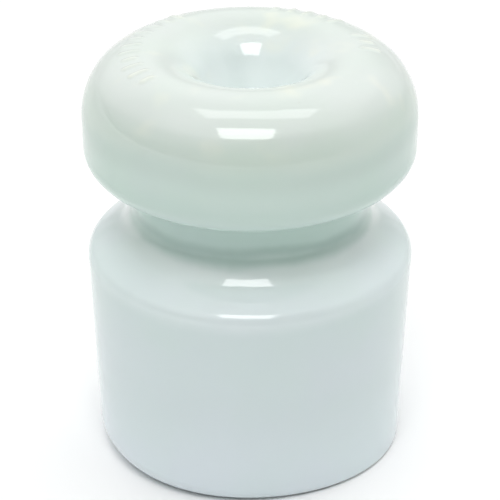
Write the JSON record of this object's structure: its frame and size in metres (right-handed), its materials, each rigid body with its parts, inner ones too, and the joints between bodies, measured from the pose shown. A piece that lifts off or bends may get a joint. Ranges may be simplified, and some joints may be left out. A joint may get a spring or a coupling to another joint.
{
  "type": "fence insulator",
  "caption": "Glazed porcelain fence insulator: a ring-shaped head over a wire groove, on a tapered body with a nail hole through its axis.",
  "frame": {"origin": "centre of the flat foot that goes against the post", "axes": "+Z along the nail hole, from the foot towards the ring-shaped head; the part is round about Z"},
  "size_m": [0.0412, 0.0412, 0.0533],
  "materials": {
    "glazed_porcelain": "glossy"
  },
  "bodies": {
    "root": {"porcelain_body": "glazed_porcelain"}
  },
  "joints": []
}
